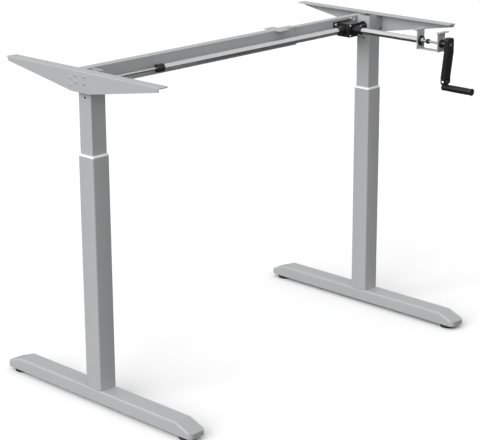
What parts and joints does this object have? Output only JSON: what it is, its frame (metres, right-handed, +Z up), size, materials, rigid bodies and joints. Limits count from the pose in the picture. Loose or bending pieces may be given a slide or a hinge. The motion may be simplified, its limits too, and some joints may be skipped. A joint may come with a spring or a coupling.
{
  "type": "height adjustable desk frame",
  "caption": "Two-leg desk frame whose columns rise together when the folding crank is turned, with a telescopic cross beam and flat feet.",
  "frame": {"origin": "on the floor, at the middle of the frame's outline seen from above", "axes": "+X from the left leg to the right leg, -Y towards the user, where the crank is, +Z up"},
  "size_m": [1.088, 0.759, 0.8395],
  "materials": {
    "grey_paint": "satin powder coat",
    "black_paint": "satin black powder coat",
    "black_plastic": "fine moulded texture",
    "white_plastic": "smooth low-friction plastic",
    "black_rubber": "matt",
    "bright_steel": "ground bright steel",
    "zinc_fasteners": "zinc plated",
    "aluminium_tube": "mill finish extrusion"
  },
  "bodies": {
    "left_base": {"left_foot": "grey_paint", "left_foot_bolts": "zinc_fasteners", "left_outer_column": "grey_paint", "left_glide_collar": "white_plastic", "left_nut_tube": "grey_paint"},
    "left_frame": {"left_inner_column": "grey_paint", "left_glide_shoe": "white_plastic", "left_bearing_plate": "bright_steel", "left_spindle_bearing": "bright_steel", "left_shaft_bush": "black_plastic", "left_bracket": "grey_paint", "left_spacer_block": "grey_paint", "left_frame_bolts": "grey_paint", "outer_beam": "grey_paint", "tie_plate": "grey_paint", "tie_screws": "zinc_fasteners"},
    "left_spindle_body": {"left_spindle": "bright_steel", "left_spindle_gear": "bright_steel"},
    "left_front_foot_pad": {"left_front_leveller": "black_rubber"},
    "left_rear_foot_pad": {"left_rear_leveller": "black_rubber"},
    "right_base": {"right_foot": "grey_paint", "right_foot_bolts": "zinc_fasteners", "right_outer_column": "grey_paint", "right_glide_collar": "white_plastic", "right_nut_tube": "grey_paint"},
    "right_frame": {"right_inner_column": "grey_paint", "right_glide_shoe": "white_plastic", "right_bearing_plate": "bright_steel", "right_spindle_bearing": "bright_steel", "right_shaft_bush": "black_plastic", "right_bracket": "grey_paint", "right_spacer_block": "grey_paint", "right_frame_bolts": "grey_paint", "inner_beam": "grey_paint", "gearbox_front": "black_plastic", "gearbox_rear": "black_plastic", "gearbox_screws": "zinc_fasteners", "crank_bracket": "grey_paint", "inner_bush": "black_plastic", "outer_bush": "black_plastic"},
    "right_spindle_body": {"right_spindle": "bright_steel", "right_spindle_gear": "bright_steel"},
    "right_front_foot_pad": {"right_front_leveller": "black_rubber"},
    "right_rear_foot_pad": {"right_rear_leveller": "black_rubber"},
    "cross_rod_body": {"cross_rod": "bright_steel", "left_shaft_gear": "bright_steel"},
    "cross_tube_body": {"hex_tube": "aluminium_tube", "clamp_collar": "black_plastic", "output_shaft": "bright_steel", "output_gear": "bright_steel", "right_shaft_gear": "bright_steel"},
    "crank_sleeve": {"crank_tube": "aluminium_tube", "input_pinion": "bright_steel"},
    "crank_handle": {"crank_rod": "bright_steel", "stop_collar": "black_paint", "crank_arm": "black_paint", "fold_pin": "bright_steel"},
    "handle_knuckle": {"knuckle": "black_plastic"},
    "handle_grip": {"grip": "black_plastic", "grip_cap": "black_plastic"}
  },
  "joints": [
    {"name": "lift", "type": "slide", "parent": "left_base", "child": "left_frame", "axis": [0, 0, 1], "range_m": [-0.1, 0.325]},
    {"name": "width_adjust", "type": "slide", "parent": "left_frame", "child": "right_frame", "axis": [1, 0, 0], "range_m": [-0.14, 0.24]},
    {"name": "right_lift", "type": "slide", "parent": "right_frame", "child": "right_base", "axis": [0, 0, -1], "range_m": [-0.1, 0.325]},
    {"name": "left_spindle_turn", "type": "hinge", "parent": "left_frame", "child": "left_spindle_body", "pos_m": [-0.505, 0.0395, 0.5], "axis": [0, 0, 1], "continuous": true},
    {"name": "right_spindle_turn", "type": "hinge", "parent": "right_frame", "child": "right_spindle_body", "pos_m": [0.505, 0.0395, 0.5], "axis": [0, 0, 1], "continuous": true},
    {"name": "cross_rod_turn", "type": "hinge", "parent": "left_frame", "child": "cross_rod_body", "pos_m": [-0.3, 0.0395, 0.809], "axis": [1, 0, 0], "continuous": true},
    {"name": "cross_tube_turn", "type": "hinge", "parent": "right_frame", "child": "cross_tube_body", "pos_m": [0.2, 0.0395, 0.809], "axis": [1, 0, 0], "continuous": true},
    {"name": "crank_turn", "type": "hinge", "parent": "right_frame", "child": "crank_sleeve", "pos_m": [0.42, -0.1105, 0.809], "axis": [0, 1, 0], "range_deg": [-6001, 19502]},
    {"name": "crank_slide", "type": "slide", "parent": "crank_sleeve", "child": "crank_handle", "axis": [0, -1, 0], "range_m": [-0.005, 0.03]},
    {"name": "grip_fold", "type": "hinge", "parent": "crank_handle", "child": "handle_knuckle", "pos_m": [0.42, -0.2925, 0.71], "axis": [1, 0, 0], "range_deg": [-75, 0]},
    {"name": "grip_spin", "type": "hinge", "parent": "handle_knuckle", "child": "handle_grip", "pos_m": [0.42, -0.3405, 0.695], "axis": [0, 1, 0], "continuous": true},
    {"name": "left_front_level", "type": "slide", "parent": "left_base", "child": "left_front_foot_pad", "axis": [0, 0, -1], "range_m": [0, 0.012]},
    {"name": "left_rear_level", "type": "slide", "parent": "left_base", "child": "left_rear_foot_pad", "axis": [0, 0, -1], "range_m": [0, 0.012]},
    {"name": "right_front_level", "type": "slide", "parent": "right_base", "child": "right_front_foot_pad", "axis": [0, 0, -1], "range_m": [0, 0.012]},
    {"name": "right_rear_level", "type": "slide", "parent": "right_base", "child": "right_rear_foot_pad", "axis": [0, 0, -1], "range_m": [0, 0.012]}
  ],
  "couplings": [
    {"joint": "right_lift", "follows": "lift", "ratio": 1},
    {"joint": "crank_turn", "follows": "lift", "rad_per_m": 1047.2},
    {"joint": "left_spindle_turn", "follows": "lift", "rad_per_m": 1047.2},
    {"joint": "right_spindle_turn", "follows": "lift", "rad_per_m": -1047.2},
    {"joint": "cross_rod_turn", "follows": "lift", "rad_per_m": 1047.2},
    {"joint": "cross_tube_turn", "follows": "lift", "rad_per_m": 1047.2}
  ]
}
